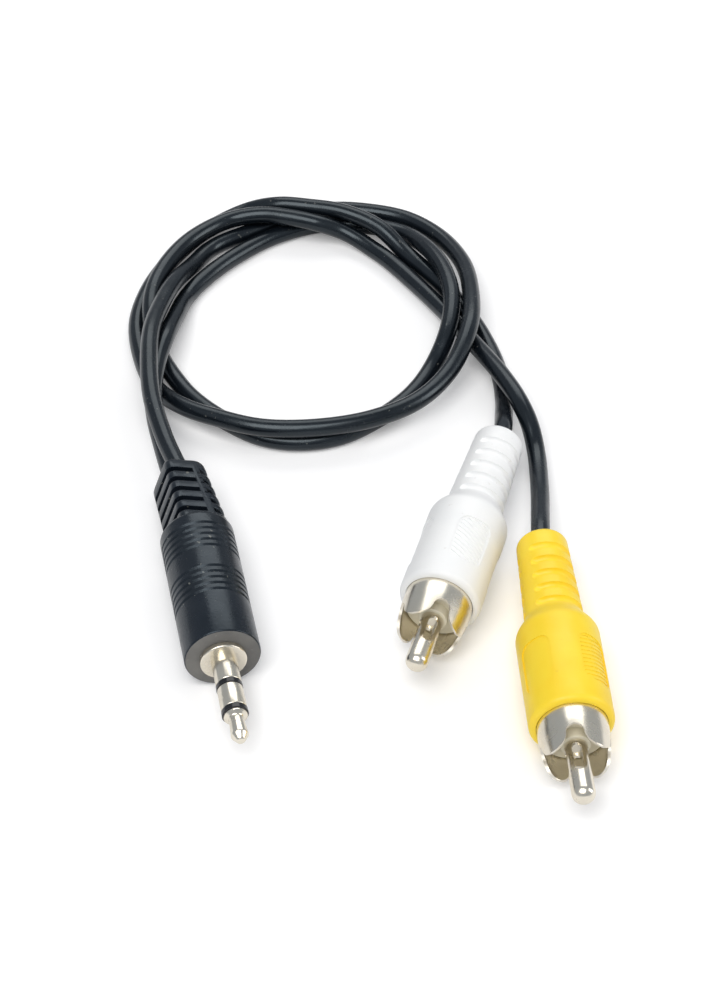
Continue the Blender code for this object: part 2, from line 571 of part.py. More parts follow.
def rca_wires(label, frame, mats):
    """The insulated core to the pin's tail and the shield tail to the inside of the shell."""
    lead_end = RCA_BOOT_END[0] - RCA_LEAD_DEPTH - END_GAP
    bore_mouth = RCA_CAVITY_END
    lap = PIN_TAIL_R + FIT + CORE_R
    points = [(0.0, lead_end, CORE_SIDE), (0.0, bore_mouth, CORE_SIDE), (0.0, bore_mouth - 2 * MM, lap),
              (0.0, DISC_TAIL + 0.5 * MM, lap)]
    round_wire(f"{label}_core_wire", points, CORE_R, mats["core"], frame)
    low = -(SHELL_R - SHELL_WALL - FIT - SHIELD_R)
    chamber = -(MOULD_CHAMBER_R - FIT - 2 * SHIELD_R)
    seat = (DISC_TAIL + SHELL_TAIL) / 2
    points = [(0.0, lead_end, SHIELD_SIDE), (0.0, bore_mouth, SHIELD_SIDE),
              (0.0, bore_mouth - 2 * MM, chamber), (0.0, seat + MM, chamber), (0.0, seat, 1.15 * chamber),
              (0.0, seat, low)]
    round_wire(f"{label}_shield_tail", points, SHIELD_R, mats["copper"], frame)


def rca_plug(label, front, turn, pads, grooves, slots, mats, soft):
    """One whole RCA plug."""
    frame = plug_frame(f"{label}_plug", front, turn, RCA_AXIS_Z)
    rca_overmould(f"{label}_overmould", frame, pads, grooves, soft)
    rca_inner_mould(f"{label}_inner_mould", frame, mats["black_plastic"])
    rca_shell(f"{label}_shell", frame, slots, mats["metal"])
    rca_insulator(f"{label}_insulator", frame, mats["cream"])
    rca_pin(f"{label}_centre_pin", frame, slots, mats["metal"])
    rca_wires(label, frame, mats)


def main():
    empty_scene()
    mats = {
        "black_pvc": material("black_pvc", (0.016, 0.022, 0.03), 0.4),
        "white_pvc": material("white_pvc", (0.93, 0.93, 0.91), 0.4),
        "yellow_pvc": material("yellow_pvc", (0.98, 0.72, 0.03), 0.4),
        "metal": material("nickel", (0.72, 0.7, 0.64), 0.25, 1.0),
        "black_plastic": material("black_plastic", (0.02, 0.02, 0.025), 0.3),
        "cream": material("cream_plastic", (0.86, 0.83, 0.74), 0.5),
        "core": material("core_insulation", (0.75, 0.06, 0.05), 0.5),
        "copper": material("tinned_copper", (0.72, 0.5, 0.36), 0.4, 1.0),
    }
    jack = plug_frame("jack_plug", JACK_FRONT, JACK_TURN, JACK_AXIS_Z)
    jack_overmould(jack, mats["black_pvc"])
    jack_inner_mould(jack, mats["black_plastic"])
    radii = jack_contacts(jack, mats)
    jack_wires(jack, mats, radii)
    rca_plug("white", WHITE_FRONT, WHITE_TURN, WHITE_PADS, WHITE_GROOVES, WHITE_SLOTS, mats,
             mats["white_pvc"])
    rca_plug("yellow", YELLOW_FRONT, YELLOW_TURN, YELLOW_PADS, YELLOW_GROOVES, YELLOW_SLOTS, mats,
             mats["yellow_pvc"])
    for label, route in (("white", WHITE_ROUTE), ("yellow", YELLOW_ROUTE)):
        points = evenly(smooth_route(route), LEAD_POINTS)
        round_wire(f"{label}_lead", points, LEAD_R, mats["black_pvc"])


main()
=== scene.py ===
"""Looks of an audio video cable: a 3.5 mm jack plug with two black leads, to a white and a yellow RCA plug."""
import math

import bpy
from mathutils import Matrix, Vector


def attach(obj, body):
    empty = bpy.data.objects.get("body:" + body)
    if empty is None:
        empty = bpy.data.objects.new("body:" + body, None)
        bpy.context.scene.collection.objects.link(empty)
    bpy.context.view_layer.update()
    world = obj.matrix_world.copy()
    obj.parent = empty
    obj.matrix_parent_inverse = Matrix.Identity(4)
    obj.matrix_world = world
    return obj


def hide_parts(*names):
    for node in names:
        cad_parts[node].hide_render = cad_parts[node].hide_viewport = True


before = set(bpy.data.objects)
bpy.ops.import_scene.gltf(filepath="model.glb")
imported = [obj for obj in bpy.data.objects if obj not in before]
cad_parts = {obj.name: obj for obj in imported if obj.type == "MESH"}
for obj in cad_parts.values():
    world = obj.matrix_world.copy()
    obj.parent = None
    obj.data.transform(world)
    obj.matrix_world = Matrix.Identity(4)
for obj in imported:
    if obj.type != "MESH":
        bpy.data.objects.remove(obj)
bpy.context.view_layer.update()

# The camera stands in front of the plugs' metal ends and looks down on them at about 45 degrees,
# from a third of a metre, with the frame of an upright photograph.
camera_data = bpy.data.cameras.new("photo_camera")
camera_data.sensor_fit = "VERTICAL"
camera_data.sensor_height = 36.0
camera_data.lens = 93.6
camera_data.clip_start = 0.01
camera_data.clip_end = 20.0
camera = bpy.data.objects.new("photo_camera", camera_data)
camera.location = (-0.00145, -0.24113, 0.26305)
camera.rotation_euler = (math.radians(45.5), 0.0, 0.0)
bpy.context.scene.collection.objects.link(camera)
bpy.context.scene.camera = camera
bpy.context.scene.view_settings.view_transform = "Standard"


# The cable lies on a sheet of white paper. The paper is one big flat sheet, a little
# brighter to the camera than its own colour, so that it fades into the white behind it.
def deselect_everything():
    if bpy.context.object and bpy.context.object.mode != "OBJECT":
        bpy.ops.object.mode_set(mode="OBJECT")
    bpy.ops.object.select_all(action="DESELECT")


def plain_material(name, colour, roughness, metallic=0.0):
    material = bpy.data.materials.new(name)
    material.use_nodes = True
    shader = material.node_tree.nodes["Principled BSDF"]
    shader.inputs["Base Color"].default_value = (*colour, 1.0)
    shader.inputs["Roughness"].default_value = roughness
    shader.inputs["Metallic"].default_value = metallic
    return material


deselect_everything()
bpy.ops.mesh.primitive_plane_add(size=6.0, location=(0.0, 0.0, 0.0))
paper = bpy.context.object
paper.name = "paper"
paper_finish = plain_material("white_paper", (0.9, 0.9, 0.915), 0.75)
links = paper_finish.node_tree.links
nodes = paper_finish.node_tree.nodes
rays = nodes.new("ShaderNodeLightPath")
lift = nodes.new("ShaderNodeMath")
lift.operation = "MULTIPLY"
lift.inputs[1].default_value = 0.16
links.new(rays.outputs["Is Camera Ray"], lift.inputs[0])
links.new(lift.outputs["Value"], nodes["Principled BSDF"].inputs["Emission Strength"])
nodes["Principled BSDF"].inputs["Emission Color"].default_value = (1.0, 1.0, 1.0, 1.0)
paper.data.materials.append(paper_finish)

# The light comes from a wide softbox high in front of the cable, a dimmer and bluer one behind the coil,
# and a little from the walls of a dark room, so that black parts stay black and metal shows dark strips.
world = bpy.data.worlds.new("dark_studio")
bpy.context.scene.world = world
world.use_nodes = True
studio_walls = world.node_tree.nodes["Background"]
studio_walls.inputs["Color"].default_value = (0.86, 0.92, 1.0, 1.0)
walls_ray = world.node_tree.nodes.new("ShaderNodeLightPath")
walls_level = world.node_tree.nodes.new("ShaderNodeMapRange")
walls_level.inputs["To Min"].default_value = 0.26
walls_level.inputs["To Max"].default_value = 0.44
world.node_tree.links.new(walls_ray.outputs["Is Glossy Ray"], walls_level.inputs["Value"])
world.node_tree.links.new(walls_level.outputs["Result"], studio_walls.inputs["Strength"])


def soft_lamp(name, place, aim, width, height, power, colour):
    data = bpy.data.lights.new(name, "AREA")
    data.shape = "RECTANGLE"
    data.size = width
    data.size_y = height
    data.energy = power
    data.color = colour
    lamp = bpy.data.objects.new(name, data)
    lamp.location = place
    lamp.rotation_euler = (Vector(aim) - Vector(place)).to_track_quat("-Z", "Y").to_euler()
    bpy.context.scene.collection.objects.link(lamp)


soft_lamp("front_softbox", (-0.2, -0.5, 0.95), (0.0, 0.02, 0.0), 0.9, 0.8, 9.9, (1.0, 0.985, 0.955))
soft_lamp("back_softbox", (0.04, 0.75, 0.72), (0.0, 0.03, 0.0), 0.8, 0.6, 3.0, (1.0, 0.985, 0.95))
soft_lamp("right_softbox", (0.85, -0.05, 0.42), (0.0, 0.02, 0.0), 0.35, 0.6, 2.4, (1.0, 0.98, 0.95))


# The two leads are round black PVC cables, 2.7 mm thick, which come out of the jack plug's boot one
# above the other and lie in the same coil. Each is a curve along its own smooth route.
def smooth_path(route, steps=12):
    """Places on a smooth curve through the route's points, none lower than a lead that lies flat."""
    points = [Vector(point) for point in route]
    points = [2 * points[0] - points[1], *points, 2 * points[-1] - points[-2]]
    path = []
    for before, here, ahead, beyond in zip(points, points[1:], points[2:], points[3:]):
        knots = [0.0]
        for a, b in ((before, here), (here, ahead), (ahead, beyond)):
            knots.append(knots[-1] + math.sqrt((b - a).length))
        for step in range(steps):
            t = knots[1] + (knots[2] - knots[1]) * step / steps
            first = before.lerp(here, t / knots[1])
            second = here.lerp(ahead, (t - knots[1]) / (knots[2] - knots[1]))
            third = ahead.lerp(beyond, (t - knots[2]) / (knots[3] - knots[2]))
            left = first.lerp(second, t / knots[2])
            right = second.lerp(third, (t - knots[1]) / (knots[3] - knots[1]))
            place = left.lerp(right, (t - knots[1]) / (knots[2] - knots[1]))
            place.z = max(place.z, 0.0014)
            path.append(place)
    path.append(points[-2])
    return path


def lay_lead(name, route, finish):
    data = bpy.data.curves.new(name, "CURVE")
    data.dimensions = "3D"
    data.bevel_depth = 0.00135
    data.bevel_resolution = 7
    data.use_fill_caps = True
    path = smooth_path(route)
    line = data.splines.new("POLY")
    line.points.add(len(path) - 1)
    for point, place in zip(line.points, path):
        point.co = (*place, 1.0)
    line.use_smooth = True
    data.materials.append(finish)
    lead = bpy.data.objects.new(name, data)
    bpy.context.scene.collection.objects.link(lead)
    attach(lead, "root")
    return lead


def soft_pvc_group():
    """Cast soft PVC: cloudy patches of shine, a fine orange-peel skin and a few specks of dust."""
    group = bpy.data.node_groups.new("soft_pvc_skin", "ShaderNodeTree")
    face = group.interface
    for label, kind, value in (("Colour", "NodeSocketColor", (0.01, 0.01, 0.01, 1.0)),
                               ("Tint", "NodeSocketColor", (0.02, 0.02, 0.02, 1.0)),
                               ("Dust", "NodeSocketColor", (0.3, 0.3, 0.3, 1.0)),
                               ("Dust amount", "NodeSocketFloat", 0.3), ("Shine low", "NodeSocketFloat", 0.3),
                               ("Shine high", "NodeSocketFloat", 0.45), ("Skin", "NodeSocketFloat", 0.00001)):
        socket = face.new_socket(name=label, in_out="INPUT", socket_type=kind)
        socket.default_value = value
    for label, kind in (("Colour", "NodeSocketColor"), ("Roughness", "NodeSocketFloat"),
                        ("Normal", "NodeSocketVector")):
        face.new_socket(name=label, in_out="OUTPUT", socket_type=kind)
    nodes, links = group.nodes, group.links
    given = nodes.new("NodeGroupInput")
    result = nodes.new("NodeGroupOutput")
    place = nodes.new("ShaderNodeTexCoord")

    def noise(scale, detail):
        texture = nodes.new("ShaderNodeTexNoise")
        texture.inputs["Scale"].default_value = scale
        texture.inputs["Detail"].default_value = detail
        links.new(place.outputs["Object"], texture.inputs["Vector"])
        return texture.outputs["Fac"]

    def ramp(factor, low, high):
        span = nodes.new("ShaderNodeMapRange")
        span.inputs["From Min"].default_value = low
        span.inputs["From Max"].default_value = high
        links.new(factor, span.inputs["Value"])
        return span

    clouds = ramp(noise(190.0, 3.0), 0.35, 0.68).outputs["Result"]
    mottle = nodes.new("ShaderNodeMix")
    mottle.data_type = "RGBA"
    links.new(clouds, mottle.inputs["Factor"])
    links.new(given.outputs["Colour"], mottle.inputs["A"])
    links.new(given.outputs["Tint"], mottle.inputs["B"])
    specks = ramp(noise(1500.0, 1.0), 0.735, 0.77)
    links.new(given.outputs["Dust amount"], specks.inputs["To Max"])
    dusty = nodes.new("ShaderNodeMix")
    dusty.data_type = "RGBA"
    links.new(specks.outputs["Result"], dusty.inputs["Factor"])
    links.new(mottle.outputs["Result"], dusty.inputs["A"])
    links.new(given.outputs["Dust"], dusty.inputs["B"])
    links.new(dusty.outputs["Result"], result.inputs["Colour"])
    shine = ramp(noise(420.0, 2.0), 0.3, 0.7)
    links.new(given.outputs["Shine low"], shine.inputs["To Min"])
    links.new(given.outputs["Shine high"], shine.inputs["To Max"])
    links.new(shine.outputs["Result"], result.inputs["Roughness"])
    peel = nodes.new("ShaderNodeBump")
    links.new(given.outputs["Skin"], peel.inputs["Distance"])
    links.new(noise(2600.0, 2.0), peel.inputs["Height"])
    links.new(peel.outputs["Normal"], result.inputs["Normal"])
    return group


soft_pvc_skin = soft_pvc_group()


def soft_pvc(name, colour, tint, dust, dust_amount, shine, skin, gloss=(1.0, 1.0, 1.0)):
    material = plain_material(name, colour, shine[0])
    material.node_tree.nodes["Principled BSDF"].inputs["Specular Tint"].default_value = (*gloss, 1.0)
    nodes, links = material.node_tree.nodes, material.node_tree.links
    group = nodes.new("ShaderNodeGroup")
    group.node_tree = soft_pvc_skin
    for label, value in (("Colour", (*colour, 1.0)), ("Tint", (*tint, 1.0)), ("Dust", (*dust, 1.0)),
                         ("Dust amount", dust_amount), ("Shine low", shine[0]), ("Shine high", shine[1]),
                         ("Skin", skin)):
        group.inputs[label].default_value = value
    shader = nodes["Principled BSDF"]
    for label, socket in (("Colour", "Base Color"), ("Roughness", "Roughness"), ("Normal", "Normal")):
        links.new(group.outputs[label], shader.inputs[socket])
    return material


lead_pvc = soft_pvc("black_lead_pvc", (0.003, 0.0046, 0.007), (0.006, 0.0085, 0.012), (0.22, 0.22, 0.2), 0.3,
                    (0.2, 0.29), 0.00001, gloss=(0.8, 0.92, 1.0))
white_route = (
    (-0.0265, 0.0220, 0.0066), (-0.0275, 0.0254, 0.0066), (-0.0301, 0.0324, 0.0066),
    (-0.0324, 0.0407, 0.0071), (-0.0333, 0.0486, 0.0073), (-0.0334, 0.0559, 0.0070),
    (-0.0325, 0.0628, 0.0059), (-0.0308, 0.0703, 0.0044), (-0.0283, 0.0772, 0.0022),
    (-0.0256, 0.0823, 0.0014), (-0.0197, 0.0864, 0.0014), (-0.0125, 0.0905, 0.0014),
    (-0.0069, 0.0921, 0.0014), (-0.0006, 0.0917, 0.0014), (0.0055, 0.0896, 0.0015),
    (0.0104, 0.0849, 0.0019), (0.0140, 0.0767, 0.0033), (0.0151, 0.0673, 0.0049), (0.0145, 0.0578, 0.0058),
    (0.0115, 0.0496, 0.0046), (0.0066, 0.0433, 0.0042), (-0.0002, 0.0393, 0.0042),
    (-0.0081, 0.0374, 0.0042), (-0.0163, 0.0374, 0.0042), (-0.0233, 0.0402, 0.0037),
    (-0.0280, 0.0431, 0.0031), (-0.0329, 0.0496, 0.0014), (-0.0356, 0.0579, 0.0014),
    (-0.0363, 0.0647, 0.0014), (-0.0348, 0.0727, 0.0014), (-0.0312, 0.0806, 0.0014),
    (-0.0260, 0.0874, 0.0014), (-0.0201, 0.0907, 0.0024), (-0.0152, 0.0899, 0.0042),
    (-0.0103, 0.0890, 0.0045), (-0.0047, 0.0875, 0.0046), (0.0010, 0.0846, 0.0038),
    (0.0055, 0.0801, 0.0019), (0.0110, 0.0731, 0.0014), (0.0160, 0.0631, 0.0014), (0.0190, 0.0527, 0.0014),
    (0.0195, 0.0460, 0.0018), (0.0192, 0.0405, 0.0034), (0.0189, 0.0363, 0.0051), (0.0182, 0.0328, 0.0057),
    (0.0173, 0.0296, 0.0057))
yellow_route = (
    (-0.0275, 0.0218, 0.0038), (-0.0284, 0.0251, 0.0038), (-0.0305, 0.0332, 0.0038),
    (-0.0320, 0.0397, 0.0040), (-0.0326, 0.0447, 0.0044), (-0.0323, 0.0522, 0.0045),
    (-0.0314, 0.0571, 0.0046), (-0.0303, 0.0635, 0.0032), (-0.0290, 0.0702, 0.0015),
    (-0.0262, 0.0751, 0.0014), (-0.0217, 0.0804, 0.0014), (-0.0153, 0.0856, 0.0014),
    (-0.0076, 0.0885, 0.0014), (-0.0007, 0.0880, 0.0014), (0.0049, 0.0856, 0.0018),
    (0.0087, 0.0794, 0.0037), (0.0111, 0.0729, 0.0047), (0.0121, 0.0661, 0.0049), (0.0113, 0.0588, 0.0041),
    (0.0089, 0.0533, 0.0018), (0.0054, 0.0472, 0.0014), (0.0007, 0.0423, 0.0014), (-0.0049, 0.0385, 0.0014),
    (-0.0108, 0.0373, 0.0014), (-0.0164, 0.0383, 0.0014), (-0.0221, 0.0420, 0.0014),
    (-0.0269, 0.0467, 0.0014), (-0.0302, 0.0519, 0.0014), (-0.0326, 0.0571, 0.0016),
    (-0.0340, 0.0626, 0.0032), (-0.0341, 0.0684, 0.0038), (-0.0325, 0.0747, 0.0039),
    (-0.0288, 0.0815, 0.0038), (-0.0231, 0.0865, 0.0037), (-0.0177, 0.0871, 0.0044),
    (-0.0138, 0.0863, 0.0046), (-0.0092, 0.0856, 0.0040), (-0.0044, 0.0851, 0.0024),
    (0.0002, 0.0819, 0.0014), (0.0065, 0.0738, 0.0014), (0.0121, 0.0646, 0.0019), (0.0156, 0.0569, 0.0031),
    (0.0189, 0.0491, 0.0045), (0.0214, 0.0429, 0.0047), (0.0229, 0.0387, 0.0037), (0.0237, 0.0345, 0.0023),
    (0.0238, 0.0258, 0.0031), (0.0233, 0.0157, 0.0054), (0.0232, 0.0120, 0.0057), (0.0235, 0.0087, 0.0057))
white_lead = lay_lead("white_plug_lead", white_route, lead_pvc)
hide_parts("white_lead")
yellow_lead = lay_lead("yellow_plug_lead", yellow_route, lead_pvc)
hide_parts("yellow_lead")


# The jack plug's body is soft black PVC, moulded in one piece: a barrel with two groups of five fine
# grooves, and a boot with slots across it that lets the leads bend. It is turned up ring by ring.
def bend(centre, radius, start, end, steps):
    """Places on an arc in a (distance in front, radius) outline, angles in degrees."""
    turns = [math.radians(start + (end - start) * i / steps) for i in range(steps + 1)]
    return [(centre[0] + radius * math.cos(t), centre[1] + radius * math.sin(t)) for t in turns]


def turn_up(name, outline, sides=96, ring=False):
    """Extrudes a disc, or a ring for a hollow piece, through an outline given in millimetres."""
    deselect_everything()
    front, radius = outline[0]
    bpy.ops.mesh.primitive_circle_add(vertices=sides, radius=radius / 1000, location=(0.0, -front / 1000, 0.0),
                                      rotation=(math.radians(90), 0.0, 0.0),
                                      fill_type="NOTHING" if ring else "NGON")
    piece = bpy.context.object
    piece.name = name
    bpy.ops.object.transform_apply(location=True, rotation=True, scale=True)
    bpy.ops.object.mode_set(mode="EDIT")
    bpy.ops.mesh.select_all(action="SELECT")
    for (old_front, old_radius), (front, radius) in zip(outline, outline[1:]):
        bpy.ops.mesh.extrude_region_move(TRANSFORM_OT_translate={"value": (0.0, (old_front - front) / 1000, 0.0)})
        scale = radius / old_radius
        bpy.ops.transform.resize(value=(scale, 1.0, scale), center_override=(0.0, -front / 1000, 0.0))
    bpy.ops.mesh.select_all(action="SELECT")
    bpy.ops.mesh.remove_doubles(threshold=1e-6)
    bpy.ops.mesh.normals_make_consistent(inside=False)
    bpy.ops.object.mode_set(mode="OBJECT")
    return piece


def cut_away(piece, cutter, operation="DIFFERENCE"):
    """Cuts one solid out of another, or joins it on, and takes the cutter away."""
    deselect_everything()
    bpy.context.view_layer.objects.active = piece
    piece.select_set(True)
    bpy.ops.object.modifier_add(type="BOOLEAN")
    step = piece.modifiers[-1]
    step.operation = operation
    step.solver = "EXACT"
    step.object = cutter
    bpy.ops.object.modifier_apply(modifier=step.name)
    bpy.data.objects.remove(cutter)


def block(low, high, roll=0.0):
    """A box between two corners in millimetres, rolled about the plug's axis."""
    deselect_everything()
    middle = [(a + b) / 2000 for a, b in zip(low, high)]
    size = [(b - a) / 1000 for a, b in zip(low, high)]
    bpy.ops.mesh.primitive_cube_add(size=1.0, location=middle, scale=size)
    box = bpy.context.object
    bpy.ops.object.transform_apply(location=True, rotation=True, scale=True)
    box.rotation_euler = (0.0, roll, 0.0)
    bpy.ops.object.transform_apply(location=True, rotation=True, scale=True)
    return box


def seat_in_plug(piece, plug, finish, slot, *nodes, angle=35):
    """Moves a piece from the workbench to its plug's place, and gives it its finish."""
    deselect_everything()
    bpy.context.view_layer.objects.active = piece
    piece.select_set(True)
    piece.location = plug["place"]
    piece.rotation_euler = (0.0, 0.0, plug["turn"])
    bpy.ops.object.transform_apply(location=True, rotation=True, scale=True)
    bpy.ops.object.shade_smooth_by_angle(angle=math.radians(angle))
    piece.data.materials.clear()
    piece.data.materials.append(finish)
    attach(piece, "root")
    if nodes:
        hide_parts(*nodes)


jack = {"place": (-0.0202, -0.00865, 0.0052), "turn": math.radians(11.35)}
boot_roll = math.radians(20)
barrel_line = [(-20.05, 3.95), (-1.0, 3.95), (-1.0, 2.4), (0.0, 2.4), (0.0, 4.95), *bend((-0.25, 4.95), 0.25, 0, 90, 4)]
for first in (7.9, 16.3):
    for groove in range(5):
        middle = -first - 1.1 * groove
        barrel_line += [(middle + 0.25, 5.2), (middle + 0.13, 5.08), (middle, 4.95), (middle - 0.13, 5.08),
                        (middle - 0.25, 5.2)]
barrel_line += bend((-22.4, 4.3), 0.9, 90, 175, 7)
barrel_line.append((-23.3, 1.0))
jack_grip = turn_up("jack_grip", barrel_line)


def rounded_outline(width, height, corners, steps=8):
    """Places round a rectangle with round corners, from the upper right, in millimetres."""
    places = []
    for x, y, start, corner in zip((1, -1, -1, 1), (1, 1, -1, -1), (0, 90, 180, 270), corners):
        places += bend((x * (width / 2 - corner), y * (height / 2 - corner)), corner, start, start + 90, steps)
    return places


def draw_plate(name, places):
    """A flat face with the given corners, in metres, from a disc with as many corners."""
    deselect_everything()
    bpy.ops.mesh.primitive_circle_add(vertices=len(places), radius=0.001, fill_type="NGON")
    plate = bpy.context.object
    plate.name = name
    for vertex, place in zip(plate.data.vertices, places):
        vertex.co = place
    bpy.ops.object.mode_set(mode="EDIT")
    bpy.ops.mesh.select_all(action="SELECT")
    return plate


def close_up():
    """Merges doubles, turns the faces outwards and leaves edit mode."""
    bpy.ops.mesh.select_all(action="SELECT")
    bpy.ops.mesh.remove_doubles(threshold=1e-7)
    bpy.ops.mesh.normals_make_consistent(inside=False)
    bpy.ops.object.mode_set(mode="OBJECT")


def bend_with_boot(piece):
    """Turns a piece of the straight boot about the barrel's rear face, as the leads pull the boot aside."""
    piece.location = (0.0233 * math.sin(boot_bend), 0.0233 - 0.0233 * math.cos(boot_bend), 0.0)
    piece.rotation_euler = (0.0, 0.0, boot_bend)
    deselect_everything()
    bpy.context.view_layer.objects.active = piece
    piece.select_set(True)
    bpy.ops.object.transform_apply(location=True, rotation=True, scale=True)
    return piece


boot_bend = math.radians(4.5)
boot = draw_plate("jack_boot", [((x + 0.3) / 1000, 0.0215, z / 1000)
                                for x, z in rounded_outline(7.9, 8.6, (2.7, 1.2, 2.2, 2.6))])
for step, across, high in ((13.1, 0.84, 0.907), (0.35, 0.955, 0.965), (0.25, 0.9, 0.92)):
    bpy.ops.mesh.extrude_region_move(TRANSFORM_OT_translate={"value": (0.0, step / 1000, 0.0)})
    bpy.ops.transform.resize(value=(across, 1.0, high), center_override=(0.0, 0.0, 0.0))
close_up()
for slot_number in range(5):
    middle = 24.3 + 2.1 * slot_number
    near, far = middle - 0.45, middle + 0.45
    cut_away(boot, block((-7.0, near, 3.1), (0.6, far, 7.0)))
    cut_away(boot, block((-7.0, near, -2.6), (-1.8, far, 6.9)))
    cut_away(boot, block((1.6, near, -2.8), (7.0, far, 7.0)))
deselect_everything()
bpy.context.view_layer.objects.active = boot
boot.select_set(True)
bpy.ops.object.mode_set(mode="EDIT")
bpy.ops.mesh.select_all(action="DESELECT")
bpy.ops.object.mode_set(mode="OBJECT")
for edge in boot.data.edges:
    ends = [boot.data.vertices[i].co for i in edge.vertices]
    level = (ends[0].y * 1000 - 23.85) % 2.1
    if abs(ends[0].y - ends[1].y) < 1e-6 and min(end.x for end in ends) > 0.00162 and ends[0].y > 0.0235 and (
            min(abs(level), abs(level - 0.9), abs(level - 2.1)) < 0.01):
        edge.select = True
bpy.ops.object.mode_set(mode="EDIT")
bpy.ops.mesh.select_mode(type="EDGE")
bpy.ops.mesh.bevel(offset=0.00034, segments=4)
bpy.ops.mesh.select_mode(type="VERT")
bpy.ops.object.mode_set(mode="OBJECT")
deselect_everything()
bpy.context.view_layer.objects.active = boot
boot.select_set(True)
bpy.ops.object.modifier_add(type="BEVEL")
boot.modifiers[-1].width = 0.00012
boot.modifiers[-1].segments = 2
boot.modifiers[-1].limit_method = "ANGLE"
boot.modifiers[-1].angle_limit = math.radians(50)
bpy.ops.object.modifier_apply(modifier=boot.modifiers[-1].name)
boot.rotation_euler = (0.0, boot_roll, 0.0)
bpy.ops.object.transform_apply(location=True, rotation=True, scale=True)
cut_away(jack_grip, bend_with_boot(boot), "UNION")
for side, up in ((0.5, 1.45), (-0.5, -1.45)):
    bore = turn_up("lead_bore", [(-36.0, 1.5), (-19.0, 1.5)], sides=32)
    bore.data.transform(Matrix.Translation((side / 1000, 0.0, up / 1000)))
    cut_away(jack_grip, bend_with_boot(bore))
grip_pvc = soft_pvc("black_grip_pvc", (0.0035, 0.0052, 0.008), (0.0065, 0.009, 0.014), (0.28, 0.28, 0.25), 0.45,
                    (0.22, 0.34), 0.00002, gloss=(0.74, 0.88, 1.0))
seat_in_plug(jack_grip, jack, grip_pvc, "black_pvc", "jack_overmould")
# The barrel's black front face is coloured mid grey: painted light, standing in for the front softbox lighting it. Its
# high roughness is the real matte finish.
face_painted_light = soft_pvc("matte_face_painted_light", (0.125, 0.123, 0.119), (0.18, 0.175, 0.164), (0.3, 0.29, 0.27), 0.35,
                        (0.6, 0.75), 0.00003)
jack_grip.data.materials.append(face_painted_light)
# Faces looking straight ahead on the barrel's front get the grey of painted light.
ahead = Vector((math.sin(jack["turn"]), -math.cos(jack["turn"]), 0.0))
for face in jack_grip.data.polygons:
    depth = (Vector(jack["place"]) - face.center).dot(ahead)
    face.material_index = 1 if face.normal.dot(ahead) > 0.9 and depth < 0.0015 else 0

# The jack's contact is nickel plated brass in three poles, the sleeve with its flange, the ring and the tip,
# with a black plastic ring between each. They are turned pieces, pressed one inside the other.
def nickel_plate(name, colour, dull, roughness):
    """Plated brass: a warm bright metal with cloudy dull patches and fine rubbed streaks."""
    material = plain_material(name, colour, roughness, 1.0)
    nodes, links = material.node_tree.nodes, material.node_tree.links
    place = nodes.new("ShaderNodeTexCoord")
    clouds = nodes.new("ShaderNodeTexNoise")
    clouds.inputs["Scale"].default_value = 330.0
    clouds.inputs["Detail"].default_value = 4.0
    links.new(place.outputs["Object"], clouds.inputs["Vector"])
    haze = nodes.new("ShaderNodeMapRange")
    haze.inputs["From Min"].default_value = 0.3
    haze.inputs["From Max"].default_value = 0.7
    haze.inputs["To Min"].default_value = roughness - 0.04
    haze.inputs["To Max"].default_value = roughness + 0.07
    links.new(clouds.outputs["Fac"], haze.inputs["Value"])
    links.new(haze.outputs["Result"], nodes["Principled BSDF"].inputs["Roughness"])
    stain = nodes.new("ShaderNodeMix")
    stain.data_type = "RGBA"
    stain.inputs["A"].default_value = (*colour, 1.0)
    stain.inputs["B"].default_value = (*dull, 1.0)
    links.new(clouds.outputs["Fac"], stain.inputs["Factor"])
    links.new(stain.outputs["Result"], nodes["Principled BSDF"].inputs["Base Color"])
    streaks = nodes.new("ShaderNodeTexNoise")
    streaks.inputs["Scale"].default_value = 2400.0
    streaks.inputs["Detail"].default_value = 2.0
    links.new(place.outputs["Object"], streaks.inputs["Vector"])
    rubbed = nodes.new("ShaderNodeBump")
    rubbed.inputs["Distance"].default_value = 0.0000006
    links.new(streaks.outputs["Fac"], rubbed.inputs["Height"])
    links.new(rubbed.outputs["Normal"], nodes["Principled BSDF"].inputs["Normal"])
    return material


nickel = nickel_plate("bright_nickel", (0.86, 0.81, 0.71), (0.72, 0.66, 0.54), 0.23)
gloss_black = soft_pvc("gloss_black_plastic", (0.006, 0.006, 0.008), (0.01, 0.01, 0.012), (0.1, 0.1, 0.1), 0.1,
                       (0.12, 0.2), 0.000004)
contact_lines = {
    "jack_sleeve": ([(-6.4, 1.45), (-6.4, 2.1), (0.05, 2.1), (0.05, 3.0), *bend((0.25, 2.98), 0.2, 180, 90, 4),
                     *bend((0.72, 2.98), 0.2, 90, 0, 4), (0.92, 1.75), *bend((4.95, 1.6), 0.15, 90, 0, 3),
                     (5.1, 1.45), (-6.4, 1.45)], nickel, "contact_metal", "jack_sleeve_contact"),
    "jack_rear_ring": ([(5.15, 1.1), (5.15, 1.72), (5.2, 1.79), (5.85, 1.79), (5.9, 1.72), (5.9, 1.1), (5.15, 1.1)],
                       gloss_black, "contact_insulator", "jack_rear_insulator"),
    "jack_ring": ([(5.95, 0.9), *bend((6.08, 1.62), 0.13, 180, 90, 3), *bend((9.47, 1.62), 0.13, 90, 0, 3),
                   (9.6, 0.9), (5.95, 0.9)], nickel, "contact_metal", "jack_ring_contact"),
    "jack_front_ring": ([(9.65, 0.5), (9.65, 1.72), (9.7, 1.79), (10.35, 1.79), (10.4, 1.72), (10.4, 0.5), (9.65, 0.5)],
                        gloss_black, "contact_insulator", "jack_front_insulator"),
}
for name, (line, finish, slot, node) in contact_lines.items():
    seat_in_plug(turn_up(name, line, ring=True), jack, finish, slot, node, angle=40)
